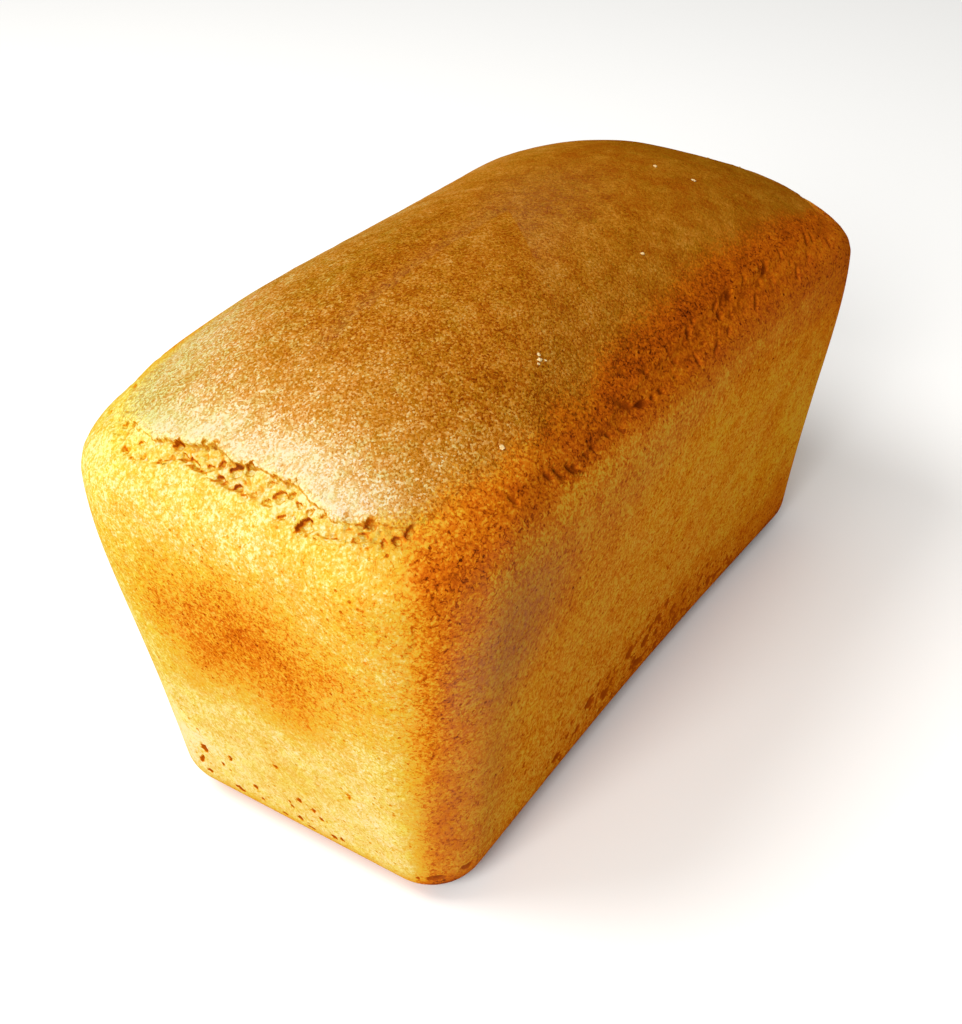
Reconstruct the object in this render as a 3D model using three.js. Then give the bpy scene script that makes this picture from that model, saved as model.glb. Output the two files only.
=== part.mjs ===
// Tin loaf: one solid of bread, baked in an open tin with sloping sides.
//
// Millimetres, +Z up. The loaf rests on its flat base at z = 0. Its length lies along X, and the
// origin is the middle of the base.

import * as THREE from 'three';
import { mergeVertices } from 'three/addons/utils/BufferGeometryUtils.js';
import { ImprovedNoise } from 'three/addons/math/ImprovedNoise.js';

// Plan of the loaf at its base, as the floor of the tin gives it.
const BASE_LENGTH = 193;
const BASE_WIDTH = 88;
const BASE_CORNER = 13.5;
const BASE_EDGE_RADIUS = 10;

// Plan at the widest level, near the rim of the tin.
const RIM_LENGTH = 220;
const RIM_WIDTH = 110;
const RIM_CORNER = 26;
const RIM_HEIGHT = 98;

// The walls turn upright below the rim, and cooling draws the foot of each long side in.
const UPRIGHT_POWER = 4;
const WAIST_DEPTH = 2;

// The crust that rose above the tin: a dome with a full, round shoulder. Its rings grow rounder
// at their corners towards the crown.
const DOME_RISE = 34.5;
const SHOULDER_POWER = 2.6;
const SHOULDER_FULLNESS = 0.555;
const CROWN_CORNER = 0.95 * RIM_WIDTH / 2;
const CORNER_POWER = 5;
const CROWN_DROP = 0.27;
const CROWN_LEAN = 0.055;
const HEIGHT_LEAN = 0.027;

// The tear runs round the shoulder, where the dome broke away from the walls. Its upper lip is
// given as a share of the way from the middle of the dome out to the rim, and so is the band of
// open crumb below that lip. Along a side the lip climbs from one end to the other and the band
// widens with it.
const TEAR_LIP_AT_ENDS = 0.913;
const TEAR_LIP_AT_SIDES = 0.892;
const TEAR_LIP_CLIMB = 0.048;
const TEAR_CLIMB_LENGTH = 180;
const TEAR_BAND_AT_ENDS = 0.04;
const TEAR_BAND_AT_SIDES = 0.078;
const TEAR_BAND_GROWTH = 0.03;

// Across the band the crust curls up into the lip, steps down to the crumb and comes back up to
// the wall. The last three are shares of the band, counted from the lip.
const TEAR_LIP_HEIGHT = 0.6;
const TEAR_LIP_REACH = 0.05;
const TEAR_DEPTH = 2.4;
const TEAR_STEP_END = 0.3;
const TEAR_RISE_START = 0.5;
const TEAR_RISE_END = 1.2;

// The tear closes at the rounded corners: distances in from the end of the loaf.
const END_TEAR_OPEN = 10;
const END_TEAR_SHUT = 20;
const SIDE_TEAR_SHUT = 26;
const SIDE_TEAR_OPEN = 47;

// Uneven places, by the size of their swells: the crags in the tear, the line of its lip, the
// stretches where it gapes less, and the slow rise and fall of the whole crust. Each draws on a
// layer of the noise of its own.
const CRAGS = { size: 6, layer: 5, mean: 0.75, swing: 0.9 };
const LIP_LINE = { size: 10, layer: 3, mean: 0, swing: 0.014 };
const PATCHES = { size: 30, layer: 7, mean: 0.8, swing: 0.6 };
const CRUST_WAVES = { size: 42, layer: 0, mean: 0, swing: 0.6 };

// Steps of the mesh round the plan, and rings up the section.
const QUARTER_STEPS = 38;
const EDGE_RINGS = 4;
const WALL_RINGS = 8;
const SHOULDER_RINGS = 15;
const SHOULDER_CROWDING = 1.4;
const CROWN_RINGS = 5;
const SHOULDER_END = 0.78;
const CROWN_END = 0.16;

const CRUST_COLOR = 0xb9762c;
const CRUST_ROUGHNESS = 0.85;

const { lerp, clamp, smoothstep } = THREE.MathUtils;
const noise = new ImprovedNoise();

// A value that wanders smoothly about its mean from place to place.
function uneven({ x, y, z }, { size, layer, mean, swing }) {
  return mean + swing * noise.noise(x / size + layer, y / size - layer, z / size + 2 * layer);
}

// One point of a corner-rounded rectangle, which is walked round evenly from the middle of the +X
// end. Every ring has the same number of steps, so that the rings of the loaf join up.
function planPoint(step, { halfLength, halfWidth, corner }) {
  const quarter = Math.floor(step / QUARTER_STEPS);
  const along = step % QUARTER_STEPS;
  const mirrored = quarter === 1 || quarter === 3;
  const endRun = halfWidth - corner;
  const cornerRun = corner * Math.PI / 2;
  const sideRun = halfLength - corner;
  const share = (mirrored ? QUARTER_STEPS - along : along) / QUARTER_STEPS;
  const walked = share * (endRun + cornerRun + sideRun);
  const point = new THREE.Vector2(halfLength, walked);
  if (walked > endRun + cornerRun) {
    point.set(sideRun - (walked - endRun - cornerRun), halfWidth);
  } else if (walked > endRun) {
    const turn = (walked - endRun) / corner;
    point.set(sideRun + corner * Math.cos(turn), endRun + corner * Math.sin(turn));
  }
  const signX = quarter === 0 || quarter === 3 ? 1 : -1;
  const signY = quarter < 2 ? 1 : -1;
  return point.multiply(new THREE.Vector2(signX, signY));
}

// Plan of the wall at a height, before the rounded edge of the base is taken off.
function wallPlan(height) {
  const share = height / RIM_HEIGHT;
  const spread = share + share ** UPRIGHT_POWER * (1 - share);
  return {
    halfLength: lerp(BASE_LENGTH, RIM_LENGTH, spread) / 2,
    halfWidth: lerp(BASE_WIDTH, RIM_WIDTH, spread) / 2,
    corner: lerp(BASE_CORNER, RIM_CORNER, share),
  };
}

// Rings from the middle of the base to the crown. Each has its plan, the share of that plan it
// takes (1 on the walls, less on the dome), its height and how far the dome lifts it.
function baseRings() {
  const rings = [{ ...wallPlan(0), share: 0, height: 0, lift: 0 }];
  for (let row = 0; row <= EDGE_RINGS; row += 1) {
    const turn = row / EDGE_RINGS * Math.PI / 2;
    const inset = BASE_EDGE_RADIUS * (1 - Math.sin(turn));
    const height = BASE_EDGE_RADIUS * (1 - Math.cos(turn));
    const plan = wallPlan(height);
    rings.push({
      halfLength: plan.halfLength - inset,
      halfWidth: plan.halfWidth - inset,
      corner: plan.corner - inset,
      share: 1,
      height,
      lift: 0,
    });
  }
  return rings;
}

function wallRings() {
  const rings = [];
  for (let row = 1; row <= WALL_RINGS; row += 1) {
    const height = lerp(BASE_EDGE_RADIUS, RIM_HEIGHT, row / WALL_RINGS);
    rings.push({ ...wallPlan(height), share: 1, height, lift: 0 });
  }
  return rings;
}

function domeRing(share) {
  const lift = DOME_RISE * (1 - share ** SHOULDER_POWER) ** SHOULDER_FULLNESS;
  const corner = lerp(CROWN_CORNER, RIM_CORNER, share ** CORNER_POWER);
  return { ...wallPlan(RIM_HEIGHT), corner, share, height: RIM_HEIGHT, lift };
}

function domeRings() {
  const rings = [];
  for (let row = 1; row <= SHOULDER_RINGS; row += 1) {
    // The first rings lie close together, because the shoulder starts out upright.
    const climb = (row / SHOULDER_RINGS) ** SHOULDER_CROWDING;
    rings.push(domeRing(lerp(1, SHOULDER_END, climb)));
  }
  for (let row = 1; row <= CROWN_RINGS; row += 1) {
    rings.push(domeRing(lerp(SHOULDER_END, CROWN_END, row / CROWN_RINGS)));
  }
  rings.push(domeRing(0));
  return rings;
}

// One point of the smooth loaf: the ring's plan, lifted to the dome and drawn in at the waist.
function loafPoint(ring, step) {
  const plan = planPoint(step, ring).multiplyScalar(ring.share);
  const alongX = plan.x / (RIM_LENGTH / 2);
  const acrossY = plan.y / (RIM_WIDTH / 2);
  const crown = 1 - CROWN_DROP * acrossY ** 2 - CROWN_LEAN * alongX;
  const height = ring.height + ring.lift * crown;
  const low = 1 - clamp(ring.height / RIM_HEIGHT, 0, 1);
  const middle = (1 - alongX ** 2) ** 2;
  const outer = clamp(Math.abs(plan.y) / (BASE_WIDTH / 2), 0, 1) ** 4;
  plan.y -= Math.sign(plan.y) * WAIST_DEPTH * low * middle * outer;
  return new THREE.Vector3(plan.x, plan.y, height * (1 - HEIGHT_LEAN * plan.x / 100));
}

// The section is turned about the axis as a lathe does, then each ring is drawn out to its plan.
// An attribute keeps the share of every vertex, because the tear is set out by it.
function smoothLoaf() {
  const rings = [...baseRings(), ...wallRings(), ...domeRings()];
  const section = rings.map((ring) => new THREE.Vector2(
    ring.halfWidth * ring.share,
    ring.height + ring.lift,
  ));
  const around = 4 * QUARTER_STEPS;
  const geometry = new THREE.LatheGeometry(section, around);
  const shares = new Float32Array(geometry.attributes.position.count);
  for (let step = 0; step <= around; step += 1) {
    rings.forEach((ring, row) => {
      const index = step * rings.length + row;
      const { x, y, z } = loafPoint(ring, step % around);
      geometry.attributes.position.setXYZ(index, x, y, z);
      shares[index] = ring.height < RIM_HEIGHT ? 1 : ring.share;
    });
  }
  geometry.deleteAttribute('normal');
  geometry.deleteAttribute('uv');
  geometry.setAttribute('share', new THREE.BufferAttribute(shares, 1));
  const merged = dropEmptyTriangles(mergeVertices(geometry));
  merged.computeVertexNormals();
  return merged;
}

// At the two poles of the lathe one corner of each square closes up, which leaves empty triangles.
function dropEmptyTriangles(geometry) {
  const corners = geometry.index.array;
  const kept = [];
  for (let i = 0; i < corners.length; i += 3) {
    const [a, b, c] = corners.slice(i, i + 3);
    if (a !== b && b !== c && c !== a) {
      kept.push(a, b, c);
    }
  }
  geometry.setIndex(kept);
  return geometry;
}

// How far a point lies towards an end of the loaf: 0 on the long sides, 1 on the ends.
function endShare(x) {
  return smoothstep(Math.abs(x), RIM_LENGTH / 2 - RIM_CORNER, RIM_LENGTH / 2 - RIM_CORNER / 2);
}

// How far the tear is open, from 0 at a rounded corner of the loaf to 1 along a side or an end.
function tearOpening(point) {
  const fromEnd = RIM_LENGTH / 2 - Math.abs(point.x);
  const end = 1 - smoothstep(fromEnd, END_TEAR_OPEN, END_TEAR_SHUT);
  const side = smoothstep(fromEnd, SIDE_TEAR_SHUT, SIDE_TEAR_OPEN);
  return clamp(Math.max(end, side) * uneven(point, PATCHES), 0, 1);
}

// Height of the torn crust above the smooth shape, at a point on the ring with this share.
function tearRelief(point, share) {
  const climb = Math.sin(2 * Math.PI * point.x / TEAR_CLIMB_LENGTH);
  const sideLip = TEAR_LIP_AT_SIDES - TEAR_LIP_CLIMB * climb;
  const sideBand = TEAR_BAND_AT_SIDES + TEAR_BAND_GROWTH * climb;
  const lip = lerp(sideLip, TEAR_LIP_AT_ENDS, endShare(point.x)) + uneven(point, LIP_LINE);
  const band = lerp(sideBand, TEAR_BAND_AT_ENDS, endShare(point.x));
  const down = (share - lip) / band;
  const stepDown = smoothstep(down, 0, TEAR_STEP_END);
  const hollow = stepDown * (1 - smoothstep(down, TEAR_RISE_START, TEAR_RISE_END));
  const raised = smoothstep(share, lip - TEAR_LIP_REACH, lip) * (1 - stepDown);
  const crumb = TEAR_DEPTH * hollow * uneven(point, CRAGS);
  return tearOpening(point) * (TEAR_LIP_HEIGHT * raised - crumb);
}

// Moves each vertex along its normal by the crust's waves and by the tear. The base stays flat.
function roughen(geometry) {
  const { position, normal, share } = geometry.attributes;
  const point = new THREE.Vector3();
  const outward = new THREE.Vector3();
  for (let i = 0; i < position.count; i += 1) {
    point.fromBufferAttribute(position, i);
    outward.fromBufferAttribute(normal, i);
    const clearOfBase = smoothstep(point.z, 0, 2 * BASE_EDGE_RADIUS);
    const wave = clearOfBase * uneven(point, CRUST_WAVES);
    const tear = share.array[i] < 1 ? tearRelief(point, share.array[i]) : 0;
    const relief = wave + tear;
    point.addScaledVector(outward, relief);
    position.setXYZ(i, point.x, point.y, point.z);
  }
}

// The waves shift the outline by a fraction of a millimetre, so the loaf is centred again.
function centreOverBase(geometry) {
  geometry.computeBoundingBox();
  const middle = geometry.boundingBox.getCenter(new THREE.Vector3());
  geometry.translate(-middle.x, -middle.y, 0);
}

function crustMaterial() {
  return new THREE.MeshStandardMaterial({
    color: CRUST_COLOR,
    roughness: CRUST_ROUGHNESS,
    metalness: 0,
  });
}

function makeLoaf() {
  const geometry = smoothLoaf();
  roughen(geometry);
  centreOverBase(geometry);
  geometry.deleteAttribute('share');
  geometry.computeVertexNormals();
  const loaf = new THREE.Mesh(geometry, crustMaterial());
  loaf.name = 'loaf';
  return loaf;
}

const group = new THREE.Group();
group.name = 'tin_loaf';
group.add(makeLoaf());

export default group;
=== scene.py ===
import math
import random

import bmesh
import bpy
from mathutils import Matrix, Vector, bvhtree, kdtree, noise


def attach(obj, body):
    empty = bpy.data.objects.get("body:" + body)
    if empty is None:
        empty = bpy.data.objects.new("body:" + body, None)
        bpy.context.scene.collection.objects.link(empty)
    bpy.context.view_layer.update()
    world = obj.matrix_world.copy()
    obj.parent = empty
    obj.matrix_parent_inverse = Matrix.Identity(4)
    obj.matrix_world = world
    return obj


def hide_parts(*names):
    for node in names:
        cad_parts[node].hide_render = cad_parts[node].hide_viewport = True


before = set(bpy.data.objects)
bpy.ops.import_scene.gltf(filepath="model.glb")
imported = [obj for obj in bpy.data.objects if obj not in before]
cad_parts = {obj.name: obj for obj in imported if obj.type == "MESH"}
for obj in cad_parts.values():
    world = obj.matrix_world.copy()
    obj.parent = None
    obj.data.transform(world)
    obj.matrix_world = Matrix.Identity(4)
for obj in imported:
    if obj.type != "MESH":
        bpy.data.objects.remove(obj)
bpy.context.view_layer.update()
MM = 0.001


# ---- Crust and crumb of the loaf ---------------------------------------------------------------
# The loaf is one piece of wheat bread, baked in an open steel tin. The tin gave the walls their
# slope and their smooth golden face. The dome rose above the rim, and as it rose it tore away
# from the walls, so that open crumb shows in a ragged band all round the shoulder.

# Plan at the base and at the widest level, as the tin gives them, and the dome above.
BASE_LENGTH = 193 * MM
BASE_WIDTH = 88 * MM
BASE_CORNER = 13.5 * MM
BASE_EDGE_RADIUS = 10 * MM
RIM_LENGTH = 220 * MM
RIM_WIDTH = 110 * MM
RIM_CORNER = 26 * MM
RIM_HEIGHT = 98 * MM
UPRIGHT_POWER = 4
WAIST_DEPTH = 2 * MM
WAIST_POWER = 4
DOME_RISE = 34.5 * MM
SHOULDER_POWER = 2.6
SHOULDER_FULLNESS = 0.555
CROWN_CORNER = 0.95 * RIM_WIDTH / 2
CORNER_POWER = 5
CROWN_DROP = 0.27
CROWN_LEAN = 0.055
HEIGHT_LEAN = 0.027
LEAN_SPAN = 100 * MM

# Rows of the mesh from the middle of the base to the crown, and steps round the plan. The crust
# is cut finer where it is torn or pitted.
BASE_ROWS = 4
EDGE_ROWS = 8
WALL_ROWS = 42
SHOULDER_ROWS = 16
CROWN_ROWS = 30
SHOULDER_END = 0.78
SHOULDER_CROWDING = 1.4
STEPS_ROUND = 304
ROWS = BASE_ROWS + EDGE_ROWS + WALL_ROWS + SHOULDER_ROWS + CROWN_ROWS


def mix(a, b, share):
    return a + (b - a) * share


def ease(value, low, high):
    """A smooth change from 0 at low to 1 at high, and flat beyond them."""
    share = min(max((value - low) / (high - low), 0), 1)
    return share * share * (3 - 2 * share)


def wall_plan(height):
    """Half length, half width and corner radius of the wall at a height."""
    share = height / RIM_HEIGHT
    spread = share + share**UPRIGHT_POWER * (1 - share)
    return (
        mix(BASE_LENGTH, RIM_LENGTH, spread) / 2,
        mix(BASE_WIDTH, RIM_WIDTH, spread) / 2,
        mix(BASE_CORNER, RIM_CORNER, share),
    )


def dome_ring(share):
    """Plan and lift of the ring at a share of the way out from the middle of the dome."""
    half_length, half_width, _ = wall_plan(RIM_HEIGHT)
    corner = mix(CROWN_CORNER, RIM_CORNER, share**CORNER_POWER)
    return (half_length, half_width, corner), DOME_RISE * (1 - share**SHOULDER_POWER) ** SHOULDER_FULLNESS


def ring_at(row):
    """Plan, share of that plan, height and lift of the ring at a row, counted from the base."""
    if row < BASE_ROWS + EDGE_ROWS:
        bend = max(row - BASE_ROWS, 0) / EDGE_ROWS * math.pi / 2
        inset = BASE_EDGE_RADIUS * (1 - math.sin(bend))
        height = BASE_EDGE_RADIUS * (1 - math.cos(bend))
        plan = [size - inset for size in wall_plan(height)]
        return plan, min(row / BASE_ROWS, 1), height, 0
    row -= BASE_ROWS + EDGE_ROWS
    if row < WALL_ROWS:
        height = mix(BASE_EDGE_RADIUS, RIM_HEIGHT, row / WALL_ROWS)
        return wall_plan(height), 1, height, 0
    row -= WALL_ROWS
    if row < SHOULDER_ROWS:
        share = mix(1, SHOULDER_END, (row / SHOULDER_ROWS) ** SHOULDER_CROWDING)
    else:
        share = mix(SHOULDER_END, 0, min((row - SHOULDER_ROWS) / CROWN_ROWS, 1))
    plan, lift = dome_ring(share)
    return plan, share, RIM_HEIGHT, lift


def plan_point(turn, plan):
    """A corner-rounded rectangle, walked round evenly from the middle of the +X end."""
    half_length, half_width, corner = plan
    quarter, along = divmod(turn % 1 * 4, 1)
    walked = 1 - along if quarter in (1, 3) else along
    end_run = half_width - corner
    corner_run = corner * math.pi / 2
    side_run = half_length - corner
    walked *= end_run + corner_run + side_run
    if walked > end_run + corner_run:
        x, y = side_run - (walked - end_run - corner_run), half_width
    elif walked > end_run:
        angle = (walked - end_run) / corner
        x = side_run + corner * math.cos(angle)
        y = end_run + corner * math.sin(angle)
    else:
        x, y = half_length, walked
    return (x if quarter in (0, 3) else -x), (y if quarter < 2 else -y)


def surface_point(turn, plan, share, height, lift):
    x, y = plan_point(turn, plan)
    x, y = x * share, y * share
    along_it, across = 2 * x / RIM_LENGTH, 2 * y / RIM_WIDTH
    crown = 1 - CROWN_DROP * across**2 - CROWN_LEAN * along_it
    low = 1 - min(height / RIM_HEIGHT, 1)
    outer = min(abs(y) / (BASE_WIDTH / 2), 1) ** WAIST_POWER
    y -= math.copysign(WAIST_DEPTH, y) * low * (1 - along_it**2) ** 2 * outer
    z = (height + lift * crown) * (1 - HEIGHT_LEAN * x / LEAN_SPAN)
    return Vector((x, y, z))


def loaf_point(turn, row):
    """A point of the smooth loaf, and its share of the way out from the middle of the dome."""
    plan, share, height, lift = ring_at(row)
    point = surface_point(turn, plan, share, height, lift)
    return point, (share if height >= RIM_HEIGHT else 1)


def dome_point(turn, share):
    plan, lift = dome_ring(share)
    return surface_point(turn, plan, share, RIM_HEIGHT, lift)


def wall_point(turn, height):
    """A point of the wall, or of the rounded edge below it."""
    if height >= BASE_EDGE_RADIUS:
        return surface_point(turn, wall_plan(height), 1, height, 0)
    inset = BASE_EDGE_RADIUS - math.sqrt(BASE_EDGE_RADIUS**2 - (BASE_EDGE_RADIUS - height) ** 2)
    return surface_point(turn, [size - inset for size in wall_plan(height)], 1, height, 0)


# The tear. Round the loaf, each station gives the turn, the share of the way from the middle of the
# dome out to the rim at which the upper lip and the foot of the torn band lie, and how far it gapes.
# The far half of the loaf tore in the same way as the near half, so it has the same stations.
HALF_START = 0.43
TEAR = (
    # turn, upper lip, foot, gape
    (0.430, 0.922, 0.946, 0.45),
    (0.445, 0.920, 0.957, 0.50),
    (0.455, 0.918, 0.960, 0.50),
    (0.465, 0.914, 0.953, 0.70),
    (0.472, 0.908, 0.936, 1.00),
    (0.485, 0.897, 0.943, 1.00),
    (0.498, 0.910, 0.947, 1.00),
    (0.510, 0.905, 0.951, 0.65),
    (0.525, 0.902, 0.958, 0.65),
    (0.535, 0.921, 0.966, 0.60),
    (0.545, 0.929, 0.954, 0.50),
    (0.560, 0.925, 0.957, 0.55),
    (0.573, 0.925, 0.949, 0.35),
    (0.585, 0.895, 0.960, 0.15),
    (0.605, 0.890, 0.968, 0.12),
    (0.630, 0.905, 0.961, 0.20),
    (0.645, 0.925, 0.955, 0.35),
    (0.658, 0.935, 0.962, 0.35),
    (0.672, 0.930, 0.957, 0.40),
    (0.692, 0.902, 0.960, 0.65),
    (0.720, 0.885, 0.965, 0.75),
    (0.752, 0.872, 0.967, 0.85),
    (0.780, 0.863, 0.967, 0.90),
    (0.800, 0.860, 0.969, 0.90),
    (0.835, 0.866, 0.974, 0.80),
    (0.860, 0.872, 0.976, 0.60),
    (0.885, 0.898, 0.983, 0.45),
    (0.905, 0.908, 0.970, 0.30),
    (0.930, 0.922, 0.946, 0.45),
)
TEAR_LIP_HEIGHT = 0.7 * MM
TEAR_DEPTH = 1.1 * MM
CRAG_HEIGHT = 0.4 * MM
CRAG_SIZE = 3.2 * MM
CRAG_GRAIN = 1.4 * MM
GAPE_SWELL = 14 * MM
CELL_SIZE = 2.1 * MM
CELL_DEPTH = 0.55 * MM
CELL_RADIUS_LEAST = 0.28
CELL_RADIUS_SPREAD = 0.4
# How the lip wavers: by how much of the way out, over what distance, and the layer of the noise.
LIP_WAVER = ((0.006, 7 * MM, 3), (0.005, 3 * MM, 9), (0.003, 1.5 * MM, 11))
# Values on the long sides and on the ends. The first two are places across the band, the others say
# how much of the cells shows, and how much the crags are drawn out along x and along y.
LIP_FOOT = (0.3, 0.14)
CRUMB_FOOT = (0.6, 0.82)
CELLS_SHOWN = (0.6, 1)
CRAGS_ALONG_X = (0.55, 1)
CRAGS_ALONG_Y = (1, 0.6)
CRAGS_UP = 1.3

# Pockets and cracks in the torn band, where bubbles of the crumb burst or the crust split.
POCKETS = (
    # turn, share out from the middle of the dome, length and height in mm, tilt in degrees, depth in mm
    (0.4355, 0.934, 3.0, 1.3, 0, 1.0),
    (0.4415, 0.922, 3.2, 1.5, 10, 1.1),
    (0.4470, 0.955, 3.6, 1.8, -25, 1.0),
    (0.4525, 0.934, 2.8, 1.4, 25, 1.1),
    (0.4555, 0.960, 4.4, 1.1, -5, 0.8),
    (0.4600, 0.923, 2.0, 1.1, 10, 0.7),
    (0.4658, 0.950, 2.6, 1.5, -30, 0.9),
    (0.4695, 0.919, 3.2, 3.2, 0, 1.9),
    (0.4735, 0.929, 3.8, 1.6, -40, 1.4),
    (0.4800, 0.934, 4.6, 1.8, -20, 1.3),
    (0.4810, 0.906, 1.6, 3.2, -10, 1.1),
    (0.4850, 0.898, 3.8, 1.4, 10, 1.1),
    (0.4860, 0.943, 3.2, 1.6, -20, 1.3),
    (0.4870, 0.931, 2.4, 1.8, 0, 1.4),
    (0.4915, 0.921, 2.8, 2.6, 20, 1.5),
    (0.4935, 0.942, 2.8, 2.0, -20, 1.5),
    (0.4965, 0.945, 2.2, 1.5, 0, 1.0),
    (0.4988, 0.922, 4.2, 3.8, 0, 2.5),
    (0.5022, 0.943, 3.2, 2.4, 25, 2.1),
    (0.5045, 0.915, 2.4, 3.6, -15, 1.7),
    (0.5068, 0.951, 2.4, 1.3, -20, 1.0),
    (0.5098, 0.943, 1.6, 1.4, 0, 0.9),
    (0.5140, 0.897, 1.2, 1.0, 0, 0.7),
    (0.5150, 0.921, 1.8, 1.4, 0, 0.9),
    (0.5165, 0.947, 2.6, 1.8, 20, 1.2),
    (0.5172, 0.912, 2.8, 1.4, -15, 1.3),
    (0.5178, 0.897, 1.3, 1.3, 0, 0.8),
    (0.5205, 0.934, 3.2, 3.2, 0, 1.6),
    (0.5230, 0.912, 1.4, 2.2, 0, 0.9),
    (0.5245, 0.956, 3.6, 1.8, 20, 1.5),
    (0.5252, 0.925, 2.0, 1.8, 0, 1.0),
    (0.5265, 0.905, 1.4, 3.2, -30, 1.0),
    (0.5295, 0.933, 2.8, 1.6, -30, 1.3),
    (0.5342, 0.957, 3.6, 4.8, 10, 2.3),
    (0.5348, 0.934, 2.6, 1.2, 15, 1.0),
    (0.5385, 0.966, 2.8, 1.4, 10, 1.3),
    (0.5415, 0.932, 2.6, 1.6, 20, 1.2),
    (0.5515, 0.925, 4.2, 2.2, -10, 1.7),
    (0.5545, 0.950, 1.8, 1.4, 0, 0.9),
    (0.5550, 0.934, 2.4, 1.4, -20, 1.0),
    (0.5565, 0.942, 3.2, 2.4, 0, 1.3),
    (0.5582, 0.930, 2.8, 2.8, 20, 1.7),
    (0.5583, 0.960, 1.7, 1.5, 0, 1.5),
    (0.5645, 0.906, 1.0, 1.3, 0, 1.1),
    (0.5648, 0.951, 1.4, 4.2, 20, 1.1),
    (0.5690, 0.943, 2.6, 2.6, 0, 1.7),
    (0.5725, 0.935, 3.2, 2.6, 35, 1.7),
    (0.5900, 0.990, 1.0, 1.0, 0, 0.8),
    (0.5965, 0.959, 6.0, 0.8, -5, 0.5),
    (0.6130, 0.920, 2.8, 2.0, -20, 1.3),
    (0.6360, 0.927, 3.2, 1.8, -25, 1.4),
    (0.6430, 0.936, 7.0, 1.1, -28, 1.2),
    (0.6460, 0.953, 3.0, 0.9, -20, 0.7),
    (0.6512, 0.945, 4.2, 1.7, -35, 1.7),
    (0.6565, 0.957, 4.6, 1.4, -40, 1.5),
    (0.6625, 0.945, 2.8, 1.3, 0, 1.2),
    (0.6672, 0.941, 4.2, 1.7, 5, 1.6),
    (0.6750, 0.928, 3.6, 1.3, 10, 0.9),
    (0.6795, 0.946, 2.6, 1.7, 0, 1.3),
    (0.6880, 0.954, 3.6, 1.5, -20, 1.1),
    (0.6915, 0.906, 5.0, 2.4, -10, 1.2),
    (0.6970, 0.926, 4.2, 2.4, -15, 1.3),
    (0.6990, 0.842, 2.6, 1.9, 0, 1.4),
    (0.7065, 0.942, 6.6, 2.1, 5, 2.0),
    (0.7142, 0.888, 2.4, 1.9, 0, 1.4),
    (0.7145, 0.946, 3.2, 1.5, 15, 1.5),
    (0.7215, 0.950, 2.4, 2.1, 0, 1.4),
    (0.7340, 0.946, 2.0, 1.1, 0, 0.9),
    (0.7380, 0.917, 3.2, 1.3, -10, 1.0),
    (0.7500, 0.900, 1.4, 4.0, 0, 0.8),
    (0.7528, 0.950, 1.6, 5.0, 0, 1.8),
    (0.7550, 0.880, 4.4, 2.7, 20, 2.3),
    (0.7620, 0.928, 3.2, 1.5, -30, 1.1),
    (0.7625, 0.860, 2.4, 1.9, 0, 1.3),
    (0.7680, 0.958, 4.2, 1.3, 15, 1.2),
    (0.7745, 0.935, 2.4, 1.5, 0, 0.9),
    (0.7825, 0.947, 4.6, 1.3, 15, 1.2),
    (0.7840, 0.869, 5.2, 1.3, 5, 1.2),
    (0.7840, 0.900, 3.2, 2.7, 0, 1.8),
    (0.7905, 0.920, 1.8, 2.5, 0, 1.0),
    (0.7935, 0.866, 6.0, 1.7, 0, 1.3),
    (0.8000, 0.869, 4.8, 3.1, -10, 2.0),
    (0.8125, 0.935, 4.6, 1.7, 20, 1.5),
    (0.8170, 0.862, 4.2, 1.1, 0, 0.9),
    (0.8250, 0.905, 2.2, 1.2, 0, 0.7),
    (0.8340, 0.866, 3.2, 1.3, 0, 1.1),
    (0.8365, 0.878, 4.6, 2.7, -20, 2.0),
    (0.8520, 0.948, 3.4, 1.7, 20, 1.3),
    (0.8548, 0.914, 2.0, 1.3, 0, 1.1),
    (0.8570, 0.868, 4.2, 1.3, 20, 1.3),
    (0.8672, 0.937, 2.6, 1.7, 0, 1.0),
    (0.8800, 0.897, 3.4, 2.1, -10, 1.5),
    (0.8850, 0.906, 3.4, 2.1, 0, 1.5),
    (0.8893, 0.951, 3.8, 1.7, 10, 1.2),
    (0.9120, 0.908, 3.4, 1.5, 0, 1.3),
)

# Cracks in the corner of the walls below the tear, where the crust shrank as it cooled.
CORNER_CRACKS = (
    # turn, height above the base in mm, length and height in mm, tilt in degrees, depth in mm
    (0.5755, 92.5, 0.9, 5.5, 8, 1.0),
    (0.5745, 88.5, 0.9, 3.6, -35, 0.9),
    (0.5725, 86.6, 2.6, 0.9, 10, 0.8),
    (0.5635, 93.0, 0.8, 3.4, 20, 0.7),
    (0.5560, 94.0, 0.7, 1.9, 15, 0.6),
    (0.5728, 78.2, 0.9, 2.8, 15, 0.7),
    (0.5762, 73.2, 4.6, 1.0, 15, 0.8),
    (0.5885, 66.5, 2.4, 0.8, 30, 0.7),
    (0.5840, 97.3, 7.0, 0.8, -4, 0.7),
)

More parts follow.
